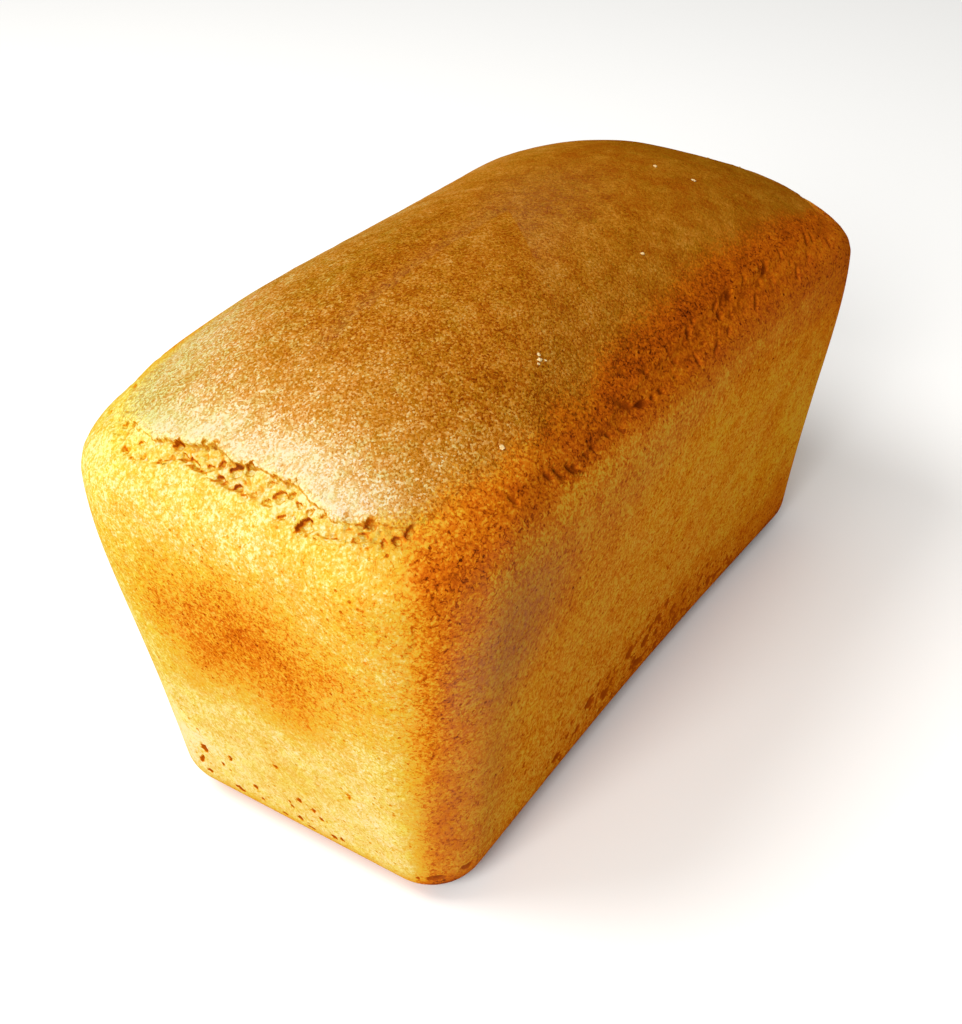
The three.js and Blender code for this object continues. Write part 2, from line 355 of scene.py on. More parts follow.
# Blisters and scabs near the foot of the walls, where fat and steam lay against the tin. They crowd
# into a low mound along the middle of each long side.
BLISTERS = (
    # turn, height above the base in mm, length and height in mm, tilt in degrees, depth in mm
    (0.4455, 14.0, 1.8, 5.5, -25, 0.6),
    (0.4485, 10.5, 2.2, 1.8, 0, 0.7),
    (0.4505, 19.5, 2.8, 3.4, 0, 0.9),
    (0.4505, 26.5, 1.4, 1.8, 0, 0.4),
    (0.4600, 16.7, 1.4, 1.8, -20, 0.5),
    (0.4665, 9.3, 3.4, 2.4, -20, 1.0),
    (0.4665, 21.0, 1.6, 3.2, -15, 0.7),
    (0.4778, 14.0, 2.0, 2.4, -20, 0.6),
    (0.4800, 10.3, 1.8, 1.4, 0, 0.4),
    (0.4925, 8.5, 2.6, 1.4, 0, 0.6),
    (0.4960, 27.4, 2.3, 1.8, 0, 0.9),
    (0.4982, 15.3, 1.2, 1.6, 0, 0.5),
    (0.4992, 13.9, 1.4, 1.8, 0, 0.5),
    (0.5022, 10.4, 1.8, 2.2, 0, 0.9),
    (0.5050, 18.2, 2.0, 2.8, 0, 0.5),
    (0.5050, 30.8, 1.6, 1.4, 0, 0.4),
    (0.5075, 8.1, 3.2, 1.8, 0, 0.9),
    (0.5122, 16.8, 1.8, 2.0, -15, 0.6),
    (0.5160, 14.5, 2.2, 2.0, -20, 0.7),
    (0.5210, 9.4, 2.4, 2.4, 0, 1.0),
    (0.5255, 10.2, 1.8, 1.8, 0, 0.6),
    (0.5360, 30.4, 1.8, 1.8, 0, 0.4),
    (0.5657, 8.8, 1.2, 1.6, 0, 0.6),
    (0.5738, 9.0, 5.4, 2.8, 0, 1.1),
    (0.5885, 10.2, 5.2, 2.6, -15, 0.7),
    (0.6295, 27.0, 1.4, 2.4, -10, 0.5),
    (0.6320, 23.0, 1.6, 2.2, -10, 0.5),
    (0.6390, 20.2, 1.2, 1.6, -10, 0.4),
    (0.6590, 27.3, 1.2, 2.2, -20, 0.5),
    (0.6612, 31.7, 1.8, 1.8, 0, 0.6),
    (0.6615, 12.5, 5.6, 3.8, -25, 1.0),
    (0.6705, 16.3, 3.2, 2.8, -20, 0.7),
    (0.6705, 34.6, 1.2, 1.8, 0, 0.4),
    (0.6735, 20.2, 2.8, 2.6, -20, 0.5),
    (0.6805, 14.0, 3.8, 3.4, -20, 0.8),
    (0.6895, 19.8, 4.6, 5.6, -20, 1.0),
    (0.6970, 23.3, 2.2, 3.0, -10, 0.7),
    (0.7040, 9.8, 4.2, 2.4, 0, 0.7),
    (0.7075, 14.5, 5.2, 5.6, -20, 0.8),
    (0.7120, 17.2, 3.2, 3.0, 0, 0.6),
    (0.7140, 21.3, 2.8, 2.6, 0, 0.6),
    (0.7280, 20.3, 5.6, 5.2, -20, 0.9),
    (0.7285, 27.0, 2.0, 3.4, -10, 0.7),
    (0.7390, 22.3, 2.4, 3.2, -20, 0.6),
    (0.7420, 11.4, 9.0, 3.6, -15, 1.0),
    (0.7430, 28.0, 1.4, 5.0, -35, 0.4),
    (0.7455, 17.3, 5.6, 4.6, -20, 1.0),
    (0.7500, 20.6, 3.2, 4.0, -15, 0.8),
    (0.7520, 40.8, 2.0, 2.6, -20, 0.4),
    (0.7565, 22.0, 4.2, 3.4, -20, 0.8),
    (0.7600, 10.0, 4.2, 3.6, 0, 0.8),
    (0.7640, 24.4, 4.0, 3.6, 0, 0.6),
    (0.7710, 37.5, 2.2, 2.2, -20, 0.3),
    (0.7740, 18.0, 3.6, 4.6, -25, 0.8),
    (0.7790, 12.6, 4.2, 4.0, 0, 0.6),
    (0.7870, 16.0, 2.8, 2.8, 0, 0.7),
    (0.7960, 34.0, 1.8, 2.2, 0, 0.3),
    (0.8050, 18.3, 3.2, 2.6, -20, 0.5),
    (0.8090, 21.0, 2.6, 2.2, 0, 0.5),
    (0.8160, 12.6, 4.2, 3.6, -25, 0.8),
    (0.8260, 11.0, 4.2, 3.2, 0, 0.7),
    (0.8380, 30.5, 2.2, 2.2, 0, 0.4),
    (0.8600, 24.5, 2.2, 2.2, -20, 0.5),
)
DEPTH_SHOWN = 0.5
# Shade of the floor on the ends and on the long sides, depth for a full shade, raggedness.
POCKET_SHADE = (0.12, 1, 1.3 * MM, 1)
BLISTER_SHADE = (0.95, 0.95, 0.6 * MM, 0.5)
# How the edge of a hollow wavers: by how much of its half size, over what distance, and the layer.
EDGE_WAVER = ((0.4, 1.7 * MM, 14), (0.3, 0.8 * MM, 15))
HOLLOW_FLOOR = 0.35
HOLLOW_EDGE = 1.05
HOLLOW_REACH = 0.75
UNDERCUT = 0.35
POCKET_STEP = 0.004
# Small blisters, with sizes and depths in mm. They lie as a mound between two turns.
SMALL_BLISTERS = 130
MOUND_START = 0.648
MOUND_END = 0.862
MOUND_HEIGHT = 25
MOUND_FOOT = 8
MOUND_POWER = 0.6
CROWDING_DOWN = 1.3
BLISTER_SIZE = (1.0, 2.6)
BLISTER_OVAL = (0.8, 1.3)
BLISTER_DEPTH = (0.3, 0.7)
BLISTER_TILT = -20


def wander(point, size, layer=0):
    """A value from about -1 to 1 that swells and sinks over a distance of about size."""
    return noise.noise(point / size + Vector((layer, -layer, 2 * layer)))


def same_half(turn):
    """The turn of the like place on the near half of the loaf."""
    return HALF_START + (turn - HALF_START) % 0.5


def along(stations, turn):
    """The values at a turn, in proportion between the stations on either side of it."""
    for here, there in zip(stations, stations[1:]):
        if turn <= there[0]:
            share = max(turn - here[0], 0) / (there[0] - here[0])
            return [mix(a, b, share) for a, b in zip(here[1:], there[1:])]
    return stations[-1][1:]


def end_share(x):
    """0 on the long sides of the loaf and 1 on its ends."""
    return ease(abs(x), RIM_LENGTH / 2 - RIM_CORNER, RIM_LENGTH / 2 - RIM_CORNER / 2)


def tear_place(turn, point, share):
    """Where a point lies across the torn band, 0 on its lip and 1 at its foot, and the gape."""
    lip, foot, gape = along(TEAR, same_half(turn))
    ragged = sum(amount * wander(point, size, layer) for amount, size, layer in LIP_WAVER)
    return (share - lip - ragged) / (foot - lip), gape


def crumb_cells(point, size, layer):
    """Round hollows of many sizes, side by side as the bubbles of the crumb were: 0 to 1 deep."""
    bend = Vector([wander(point, 0.7 * size, layer + step) for step in (20, 40, 60)])
    bent = point + 0.35 * size * bend
    distances, centres = noise.voronoi(bent / size + Vector((layer, layer, layer)))
    chance = abs(noise.cell(centres[0] * 7.3 + Vector((0.5, 0.5, 0.5))))
    radius = CELL_RADIUS_LEAST + CELL_RADIUS_SPREAD * chance
    return (1 - ease(distances[0], 0.25 * radius, radius)) * (0.35 + 0.65 * chance)


def tear_relief(turn, point, share):
    """Height of the torn crust, how open its crumb is, the painted shade of its small cells, and its
    lumps.
    """
    place, gape = tear_place(turn, point, share)
    at_end = end_share(point.x)
    gape *= mix(0.65 + 0.6 * wander(point, GAPE_SWELL, 31), 1, at_end)
    below_lip = ease(place, 0, mix(*LIP_FOOT, at_end))
    open_crumb = below_lip * (1 - ease(place, mix(*CRUMB_FOOT, at_end), 1.08)) * gape
    raised = ease(place, -1.1, -0.05) * (1 - below_lip) * gape
    small = crumb_cells(point, CELL_SIZE, 2) * ease(open_crumb, 0.1, 0.6) * mix(*CELLS_SHOWN, at_end)
    drawn = Vector((
        point.x * mix(*CRAGS_ALONG_X, at_end),
        point.y * mix(*CRAGS_ALONG_Y, at_end),
        point.z * CRAGS_UP,
    ))
    crag = wander(drawn, CRAG_SIZE, 5) + 0.8 * wander(drawn, CRAG_GRAIN, 6)
    relief = TEAR_LIP_HEIGHT * raised - TEAR_DEPTH * open_crumb
    relief += CRAG_HEIGHT * crag * open_crumb - CELL_DEPTH * small
    return relief, open_crumb, 0.55 * small, crag * open_crumb


def hollow_out(tree, hollows, shading, depths, shades):
    """Sinks oval hollows with wavering edges into the depths and shades kept for each vertex.

    The shade is painted shade and lies under the upper rim; on blisters it is also their darker
    crust. The shading says how much of it the floor of a hollow gets on the ends and on the sides
    of the loaf, how deep a hollow is for its shade to be full, and how ragged its edge is.
    """
    end_floor, side_floor, full_depth, ragged = shading
    for centre, along_it, up_it, length, height, tilt, depth in hollows:
        floor_shade = mix(side_floor, end_floor, end_share(centre.x))
        lean = math.radians(tilt)
        for place, index, _ in tree.find_range(centre, HOLLOW_REACH * max(length, height)):
            away = place - centre
            across, rise = away.dot(along_it), away.dot(up_it)
            u = (across * math.cos(lean) + rise * math.sin(lean)) / (length / 2)
            v = (rise * math.cos(lean) - across * math.sin(lean)) / (height / 2)
            edge = math.hypot(u, v)
            for amount, size, layer in EDGE_WAVER:
                edge += amount * ragged * wander(place, size, layer)
            sunk = 1 - ease(edge, HOLLOW_FLOOR, HOLLOW_EDGE)
            depths[index] = max(depths[index], DEPTH_SHOWN * depth * sunk * (1 + UNDERCUT * v))
            under_rim = (1 - ease(edge, 0.8, HOLLOW_EDGE)) * ease(edge, 0.2, 0.8)
            under_rim *= ease(0.8 * v - 0.5 * u, -0.35, 0.45)
            shade = max(under_rim, floor_shade * sunk) * mix(0.6, 1, depth / full_depth)
            shades[index] = max(shades[index], shade)


def on_dome(turn, share, step):
    return dome_point(turn, share - POCKET_STEP * step)


def on_wall(turn, up, step):
    return wall_point(turn, (up + step) * MM)


def set_out(listed, spot):
    """The frames of hollows on the near half of the loaf and at the like places on the far half.

    The function gives the surface at a turn, at a place listed, and a step up from there.
    """
    frames = []
    for turn, place, length, height, tilt, depth in listed:
        for here in (turn, turn + 0.5):
            centre = spot(here, place, 0)
            along_it = (spot(here + 0.001, place, 0) - spot(here - 0.001, place, 0)).normalized()
            up_it = (spot(here, place, 1) - centre).normalized()
            frames.append((centre, along_it, up_it, length * MM, height * MM, tilt, depth * MM))
    return frames


def crowd_of_blisters():
    luck = random.Random(11)
    listed = list(BLISTERS)
    for _ in range(SMALL_BLISTERS):
        way = luck.random()
        crest = MOUND_HEIGHT * math.sin(math.pi * way) ** MOUND_POWER
        size = luck.uniform(*BLISTER_SIZE)
        up = MOUND_FOOT + (crest - MOUND_FOOT) * luck.random() ** CROWDING_DOWN
        turn = mix(MOUND_START, MOUND_END, way)
        height = size * luck.uniform(*BLISTER_OVAL)
        listed.append((turn, up, size, height, BLISTER_TILT, luck.uniform(*BLISTER_DEPTH)))
    return listed


# Baking. How brown each place came out, from 0 for pale straw to 1 for scorched. The ends stood away
# from the heat and stayed pale but for one hot spot each. The long sides browned evenly, and are
# browner than the ends partly as painted shade, for the near side faces away from the lamps. The dome
# is palest at the lip of the near end's tear, where its pale crust also carries a painted sheen, and
# darkest along the lip of the side tears.
WALL_BAKED = (
    # turn, baked
    (0.000, 0.26),
    (0.060, 0.30),
    (0.085, 0.48),
    (0.110, 0.55),
    (0.250, 0.47),
    (0.380, 0.47),
    (0.400, 0.36),
    (0.418, 0.18),
    (0.437, 0.07),
    (0.455, 0.11),
    (0.545, 0.12),
    (0.558, 0.13),
    (0.562, 0.15),
    (0.566, 0.18),
    (0.570, 0.30),
    (0.574, 0.41),
    (0.578, 0.49),
    (0.582, 0.51),
    (0.588, 0.49),
    (0.602, 0.44),
    (0.650, 0.445),
    (0.750, 0.435),
    (0.830, 0.43),
    (0.870, 0.49),
    (0.890, 0.57),
    (0.925, 0.56),
    (0.950, 0.36),
    (1.000, 0.26),
)
TEAR_BAKED = (
    # turn, crumb, rim of the dome, and how far that rim shows
    (0.000, 0.28, 0.46, 0.5),
    (0.060, 0.32, 0.50, 0.6),
    (0.100, 0.48, 0.60, 1.0),
    (0.250, 0.52, 0.64, 1.0),
    (0.380, 0.40, 0.50, 0.8),
    (0.410, 0.14, 0.16, 0.2),
    (0.445, 0.14, 0.05, 0.0),
    (0.465, 0.12, 0.00, 0.0),
    (0.485, 0.13, 0.00, 0.0),
    (0.498, 0.13, 0.00, 0.0),
    (0.510, 0.08, 0.00, 0.0),
    (0.535, 0.11, 0.05, 0.0),
    (0.560, 0.22, 0.30, 0.0),
    (0.570, 0.36, 0.44, 0.3),
    (0.580, 0.50, 0.47, 0.9),
    (0.597, 0.56, 0.50, 1.0),
    (0.630, 0.62, 0.58, 1.0),
    (0.670, 0.62, 0.68, 1.0),
    (0.700, 0.63, 0.73, 1.0),
    (0.750, 0.63, 0.73, 1.0),
    (0.800, 0.63, 0.71, 1.0),
    (0.840, 0.62, 0.69, 1.0),
    (0.860, 0.62, 0.68, 1.0),
    (0.885, 0.62, 0.67, 1.0),
    (0.910, 0.62, 0.65, 0.8),
    (0.940, 0.40, 0.58, 0.6),
    (1.000, 0.28, 0.46, 0.5),
)
# The lowest values on the dome, towards the near end, are pale crust with a painted sheen on it.
DOME_BAKED = (
    # place along the loaf in mm, baked
    (-110, 0.00),
    (-99, 0.02),
    (-95.5, 0.09),
    (-91.5, 0.22),
    (-88, 0.32),
    (-80.5, 0.40),
    (-72, 0.48),
    (-60, 0.59),
    (-35, 0.60),
    (0, 0.605),
    (40, 0.63),
    (75, 0.65),
    (95, 0.64),
    (110, 0.54),
)
# The orange strip down the near corner. It leans and widens by so much for each mm above the middle,
# and widens by so much of the way in over the dome.
NEAR_CORNER = (0.5, 0.66)
STRIP_START = 0.575
STRIP_END = 0.581
STRIP_MIDDLE = 60
STRIP_LEAN = 0.0001
STRIP_WIDENS = 0.0001
STRIP_FLARES = 0.42
# The foot of the walls lay in the corner of the tin and browned most.
EDGE_BROWNER = 0.4
EDGE_HEIGHTS = (12 * MM, 1 * MM)
# Across the dome, its back is paler and bends the pale end inwards, and its front is browner.
BACK_PALER = 0.24
BACK_ACROSS = (6 * MM, 40 * MM)
BACK_BEND = 0.008
FRONT_BROWNER = 0.07
FRONT_ACROSS = (-22 * MM, -34 * MM)
RIM_REACH = 0.2


def spot_list(*rows):
    return [(Vector(row[:3]), Vector(row[3:6]), row[6]) for row in rows]


SPOTS = spot_list(
    # centre and reach along each axis in mm, and how much browner than its surroundings
    (-105, 1, 71, 40, 30, 21, 0.28),
    (-105, -8, 90, 40, 60, 22, 0.05),
    (-105, 19, 72, 40, 20, 17, 0.09),
    (-105, -26, 102, 40, 17, 17, 0.06),
    (-103, -27, 20, 40, 14, 16, -0.05),
    (-102, 41, 108, 16, 12, 12, -0.06),
    (-105, 15, 60, 40, 14, 9, 0.1),
    (-105, -12, 82, 40, 24, 12, 0.08),
    (-105, -12, 57, 40, 14, 9, 0.08),
    (-105, 32, 84, 40, 16, 20, 0.08),
    (105, -6, 62, 40, 36, 24, 0.26),
    (-105, 22, 50, 40, 10, 8, 0.1),
    (-105, -9, 51, 40, 10, 8, 0.09),
    (-105, -27, 70, 40, 9, 12, 0.1),
    (-105, 0, 76, 40, 8, 7, 0.07),
    (-105, -36, 68, 40, 7, 16, 0.08),
    (-102, 34, 20, 40, 14, 12, -0.1),
    (-60, -52, 84, 30, 30, 16, 0.04),
    (75, -52, 97, 60, 30, 12, 0.06),
    (45, -54, 86, 46, 30, 13, 0.03),
    (-94, -47, 108, 13, 10, 8, 0.22),
    (92, -48, 46, 26, 30, 34, -0.2),
    (-105, 6, 90, 40, 16, 9, 0.09),
    (-105, -10, 66, 40, 11, 10, 0.06),
    (-105, -13, 70, 40, 9, 8, 0.07),
    (-106, -37, 96, 30, 10, 9, 0.11),
    (-64, -15, 129, 13, 10, 12, 0.05),
    (-47, -38, 123, 12, 8, 10, -0.06),
    (-100, 37, 50, 40, 9, 9, 0.09),
    (-40, 52, 55, 50, 40, 26, -0.05),
    (15, -50, 14, 56, 30, 15, 0.12),
    (-5, 50, 12, 62, 30, 14, 0.1),
)
MAUVE_AND_SHADE_SPOTS = spot_list(
    # the same, but for how mauve and how dulled by painted shade, or where below 0 how olive, the brown
    # is
    (-90, -50, 40, 16, 30, 44, 0.5),
    (-84, -52, 84, 24, 30, 20, 1.0),
    (-48, -52, 72, 36, 30, 34, 0.12),
    (-94, 34, 117, 18, 20, 22, -1.0),
    (-38, 13, 130, 40, 18, 30, -0.8),
    (-45, 44, 112, 60, 16, 30, -0.7),
    (64, -52, 44, 34, 30, 30, -0.9),
    (20, -52, 82, 40, 30, 14, -0.4),
    (10, -54, 92, 90, 30, 12, 0.25),
    (-20, 0, 131, 50, 18, 30, 0.5),
    (-52, -10, 131, 32, 20, 30, 0.5),
    (-105, -5, 90, 30, 60, 9, -0.6),
    (-100, 34, 72, 30, 12, 40, -0.6),
    (82, -6, 126, 22, 34, 30, -1.0),
    (-60, 52, 40, 34, 30, 34, -0.7),
    (90, 50, 50, 16, 30, 46, 0.8),
)


def near(point, centre, reach):
    """1 in the middle of a spot, fading smoothly to 0 beyond its reach."""
    away = Vector((d / r for d, r in zip(point / MM - centre, reach))).length
    return 1 - ease(away, 0, 1.5)


def spotted(point, spots):
    return sum(amount * near(point, centre, reach) for centre, reach, amount in spots)


def between(value, limits):
    return limits[0] < value < limits[1]


def corner_turn(turn, point, share):
    """The turn at which the like browning of the near corner lies at the middle of its height."""
    if not between(turn, NEAR_CORNER):
        return turn
    height = point.z / MM - STRIP_MIDDLE
    turn -= STRIP_LEAN * height * ease(turn, 0.55, 0.57) * ease(turn, 0.66, 0.6)
    wider = STRIP_WIDENS * max(height, 0) + STRIP_FLARES * (1 - share)
    strip = STRIP_END - STRIP_START
    if turn > STRIP_END + wider:
        return turn - wider * ease(turn, 0.66, 0.61)
    return turn - max(turn - STRIP_START, 0) * wider / (strip + wider)


def wall_baked(turn, point, share):
    baked, = along(WALL_BAKED, corner_turn(turn, point, share))
    return baked + EDGE_BROWNER * ease(point.z, *EDGE_HEIGHTS) + spotted(point, SPOTS)


def mauve_and_shade_at(turn, point, share):
    """How mauve the brown is, and how much painted shade dulls it. Round the near corner that stops
    short of the orange strip.
    """
    amount = spotted(point, MAUVE_AND_SHADE_SPOTS)
    if between(turn, NEAR_CORNER):
        low = ease(point.z, 60 * MM, 35 * MM)
        amount *= ease(corner_turn(turn, point, share), 0.575 - 0.011 * low, 0.586 - 0.004 * low)
    return amount


def dome_baked(turn, point, share):
    """The dome browns from the pale end on, and most of all towards the tear along its sides."""
    crumb, rim, shown = along(TEAR_BAKED, turn)
    lip, _, _ = along(TEAR, same_half(turn))
    x = point.x / MM - 3 * wander(point, 16 * MM, 22)
    x -= BACK_BEND * max(point.y / MM, 0) ** 2 * ease(x, -95, -70)
    top, = along(DOME_BAKED, x)
    top -= BACK_PALER * ease(point.y, *BACK_ACROSS) * ease(x, -96, -82)
    top += FRONT_BROWNER * ease(point.y, *FRONT_ACROSS) * ease(x, -95, -84) * ease(x, -40, -62)
    at_rim = shown * ease(share, lip - RIM_REACH - 0.02 * wander(point, 20 * MM, 21), lip - 0.02)
    return mix(top, rim, at_rim), crumb


# The sandy skin of the dome. It ends from a place to a place across the torn band, each given for a
# sharp edge and a blurred one. It turns smooth from a share to a share beyond the lip, each given for
# near the ends and along the sides. Then come the turns over which all this comes and goes.
EDGE_FROM = (-0.1, -2.2)
EDGE_TO = (0.25, 1.6)
SMOOTH_FROM = (-0.04, -0.24)
SMOOTH_TO = (0.04, 0)
BACK_BLUR = ((0.36, 0.4), (0.465, 0.425))
FRONT_BLUR = ((0.548, 0.568), (0.64, 0.6))
ALONG_SIDE = ((0.575, 0.66), (0.925, 0.88))
SMOOTH_RIM = ((0.56, 0.59), (0.94, 0.91))


def over(turn, stretch):
    """1 over a stretch of turns, which comes and goes smoothly."""
    coming, going = stretch
    return ease(turn, *coming) * ease(turn, *going)


def sandy_share(turn, point, share, place):
    """1 where the crust baked in the open and is sandy, and 0 where it is torn or smooth."""
    blur = max(over(turn, BACK_BLUR), 0.65 * over(turn, FRONT_BLUR), 0.15 * end_share(point.x))
    sandy = 1 - ease(place, mix(*EDGE_FROM, blur), mix(*EDGE_TO, blur))
    turn = same_half(turn)
    lip, _, _ = along(TEAR, turn)
    side = over(turn, ALONG_SIDE)
    beyond = share + 0.03 * wander(point, 9 * MM, 17) - lip
    smooth = ease(beyond, mix(*SMOOTH_FROM, side), mix(*SMOOTH_TO, side))
    return min(sandy, 1 - smooth * over(turn, SMOOTH_RIM))


WAVE_HEIGHT = 0.25 * MM
WAVE_LENGTH = 60 * MM
DIMPLE_HEIGHT = 0.12 * MM
DIMPLE_LENGTH = 6 * MM
# Painted light and shade on the torn crumb: paler on its lumps, darker between them and on its steep
# edges.
LUMP_PALER = 0.07
LUMP_SHADE = 0.4
STEEP_SHADE = 0.6
PALE_CRUMB = 0.2
# Where the mesh is cut finer: over the blisters at the foot of the walls, twice over the torn band
# and once more at the near end, at the cracks of the near corner, and at the foot of the near end.
FOOT_HEIGHTS = (4 * MM, 30 * MM)
TORN_PLACES = ((-0.7, 1.5), (-0.15, 1.15))
NEAR_END = -88 * MM
NEAR_TORN_PLACES = (-0.2, 1.2)
CRACK_TURNS = (0.552, 0.597)
CRACK_HEIGHT = 65 * MM
NEAR_FOOT_TURNS = (0.44, 0.6)
NEAR_FOOT_HEIGHTS = (5 * MM, 22 * MM)


def make_loaf():
    """A sphere drawn out to the loaf: its longitude walks round the plan, its latitude climbs."""
    bm = bmesh.new()
    bmesh.ops.create_uvsphere(bm, u_segments=STEPS_ROUND, v_segments=ROWS, radius=1)

    def place_of(vert):
        """Turn round the loaf, point, and share of the way out from the middle of the dome."""
        unit = vert.co.normalized()
        turn = math.atan2(unit.y, unit.x) / (2 * math.pi) % 1
        latitude = math.asin(max(-1, min(1, unit.z)))
        return turn, *loaf_point(turn, (latitude / math.pi + 0.5) * ROWS)

    def cut_where(wanted):
        kept = {vert for vert in bm.verts if wanted(*place_of(vert))}
        edges = [edge for edge in bm.edges if edge.verts[0] in kept and edge.verts[1] in kept]
        bmesh.ops.subdivide_edges(bm, edges=edges, cuts=1, use_grid_fill=True)

    def in_tear(turn, point, share, limits):
        return share < 1 and between(tear_place(turn, point, share)[0], limits)

    def by_cracks(turn, point, share):
        return share == 1 and between(turn, CRACK_TURNS) and point.z > CRACK_HEIGHT

    def at_near_foot(turn, point, share):
        return between(turn, NEAR_FOOT_TURNS) and between(point.z, NEAR_FOOT_HEIGHTS)

    def torn_near_end(turn, point, share):
        return point.x < NEAR_END and in_tear(turn, point, share, NEAR_TORN_PLACES)

    cut_where(lambda turn, point, share: between(point.z, FOOT_HEIGHTS))
    for limits in TORN_PLACES:
        cut_where(lambda turn, point, share: in_tear(turn, point, share, limits))
    for wanted in (torn_near_end, by_cracks, by_cracks, at_near_foot):
        cut_where(wanted)
    layers = bm.verts.layers.float
    names = ("torn", "painted_shade", "dome", "pit", "baked", "mauve_and_shade")
    torn, painted_shade, dome, pit, baked, mauve_and_shade = [layers.new(name) for name in names]
    bm.verts.index_update()
    places = []
    for vert in bm.verts:
        places.append(place_of(vert))
        vert.co = places[-1][1]
    bm.normal_update()
    outward = [vert.normal.copy() for vert in bm.verts]
    tree = kdtree.KDTree(len(places))
    for index, (turn, point, share) in enumerate(places):
        tree.insert(point, index)
    tree.balance()
    depths = [0] * len(places)
    pocket_shades = [0] * len(places)
    blister_shades = [0] * len(places)
    split_open = set_out(POCKETS, on_dome) + set_out(CORNER_CRACKS, on_wall)
    hollow_out(tree, split_open, POCKET_SHADE, depths, pocket_shades)
    hollow_out(tree, set_out(crowd_of_blisters(), on_wall), BLISTER_SHADE, depths, blister_shades)
    for vert, (turn, point, share), depth, shade, blistered in zip(
        bm.verts, places, depths, pocket_shades, blister_shades
    ):
        relief = WAVE_HEIGHT * ease(point.z, 0, 20 * MM) * wander(point, WAVE_LENGTH) - depth
        wall = wall_baked(turn, point, share)
        vert[mauve_and_shade] = mauve_and_shade_at(turn, point, share)
        if share < 1:
            torn_relief, vert[torn], vert[painted_shade], lump = tear_relief(turn, point, share)
            place, _ = tear_place(turn, point, share)
            at_end = end_share(point.x)
            vert[dome] = sandy_share(turn, point, share, place)
            top, crumb = dome_baked(turn, point, share)
            # Painted light and shade: the crumb is paler on its lumps and browner in the hollows between
            # them.
            below = mix(crumb - LUMP_PALER * lump, wall, ease(place, 0.8, 1.6))
            vert[painted_shade] = max(vert[painted_shade], LUMP_SHADE * ease(-lump, 0.1, 0.8))
            vert[mauve_and_shade] += PALE_CRUMB * vert[torn] * at_end
            vert[baked] = mix(below, top, ease(place, 0.1, -0.3) if at_end < 0.5 else vert[dome])
            relief += torn_relief + DIMPLE_HEIGHT * wander(point, DIMPLE_LENGTH, 8) * vert[dome]
        else:
            vert[baked] = wall
        vert[painted_shade] = max(vert[painted_shade], shade)
        vert[pit] = blistered
        vert.co = point + outward[vert.index] * relief
    # Painted shade: the steep edges of the torn crumb are made browner, as warm shade inside the crumb.
    bm.normal_update()
    for vert, was in zip(bm.verts, outward):
        steep = 1 - vert.normal.dot(was)
        shade = STEEP_SHADE * ease(steep, 0.06, 0.34) * ease(vert[torn], 0.02, 0.15)
        vert[painted_shade] = max(vert[painted_shade], shade)
    return bm


def place_object(name, data):
    made = bpy.data.objects.new(name, data)
    bpy.context.scene.collection.objects.link(made)
    return made


def finished(name, bm):
    """The object of a bmesh, at the origin."""
    mesh = bpy.data.meshes.new(name)
    bm.to_mesh(mesh)
    bm.free()
    return place_object(name, mesh)


loaf = finished("loaf_crust", make_loaf())
loaf.data.shade_smooth()


def paint(code):
    """A linear colour from an sRGB hex code."""
    parts = [int(code[i : i + 2], 16) / 255 for i in (1, 3, 5)]
    return [c / 12.92 if c < 0.04045 else ((c + 0.055) / 1.055) ** 2.4 for c in parts] + [1]


def blank_material(name):
    material = bpy.data.materials.new(name)
    material.use_nodes = True
    return material, material.node_tree, material.node_tree.nodes["Principled BSDF"]


def add(tree, kind, settings, inputs):
    """Adds a node with its settings. Each input is a value, or an output socket to link."""
    made = tree.nodes.new(kind)
    for name, value in settings.items():
        setattr(made, name, value)
    for name, value in inputs.items():
        if isinstance(value, bpy.types.NodeSocket):
            tree.links.new(value, made.inputs[name])
        else:
            made.inputs[name].default_value = value
    return made


# Wheat crust, browned by the oven and dry to the touch. Where the tin pressed it, it is smooth, with
# fine pores and short dark strokes. Where it baked in the open, on the dome, it is sandy. Its sand is
# about 0.2 mm across in truth and is drawn at 0.42 mm, so that it shows.
TIN_COLOURS = (
    (0.0, "#CFC292"),
    (0.1, "#C5B166"),
    (0.2, "#BF9E41"),
    (0.3, "#BF942E"),
    (0.39, "#C08A25"),
    (0.46, "#BD7719"),
    (0.53, "#B7660D"),
    (0.62, "#AD560A"),
    (0.72, "#964406"),
    (0.84, "#763004"),
    (1.0, "#461803"),
)
# Its palest stops are the pale crust by the near end, with a painted sheen on it.
OPEN_COLOURS = (
    (0.0, "#C6BCA0"),
    (0.12, "#BEA471"),
    (0.25, "#B68B4C"),
    (0.35, "#AC7A37"),
    (0.42, "#AB7229"),
    (0.5, "#A66B1C"),
    (0.6, "#986011"),
    (0.7, "#91540A"),
    (0.8, "#8C4907"),
    (0.9, "#7C3C05"),
    (1.0, "#6B2F04"),
)
# Casts from olive over neutral to mauve, and what the grease of the tin and painted shade do to the
# brown.
TIN_CASTS = ((0.0, "#FAFFC8"), (0.5, "#FAF5E6"), (1.0, "#FFF0FF"))
OPEN_CASTS = ((0.0, "#E8F0BE"), (0.5, "#FAF5E6"), (1.0, "#FFF2F4"))
GREASE_AND_SHADE_DULLS = "#DEDBD8"
GREASE_BLOOM = "#98876A"
SAND_SIZE = 0.42 * MM
GRAIN_SIZE = 0.8 * MM
BLOTCH_SIZE = 1.6 * MM
MOTTLE_SIZE = 8 * MM
STROKE_SIZE = 1.4 * MM
STROKE_GAPS = 1.1 * MM
PORE_SPACING = 2.8 * MM
CAST_SIZES = (14 * MM, 3 * MM)
BUMP_HEIGHT = 0.22 * MM


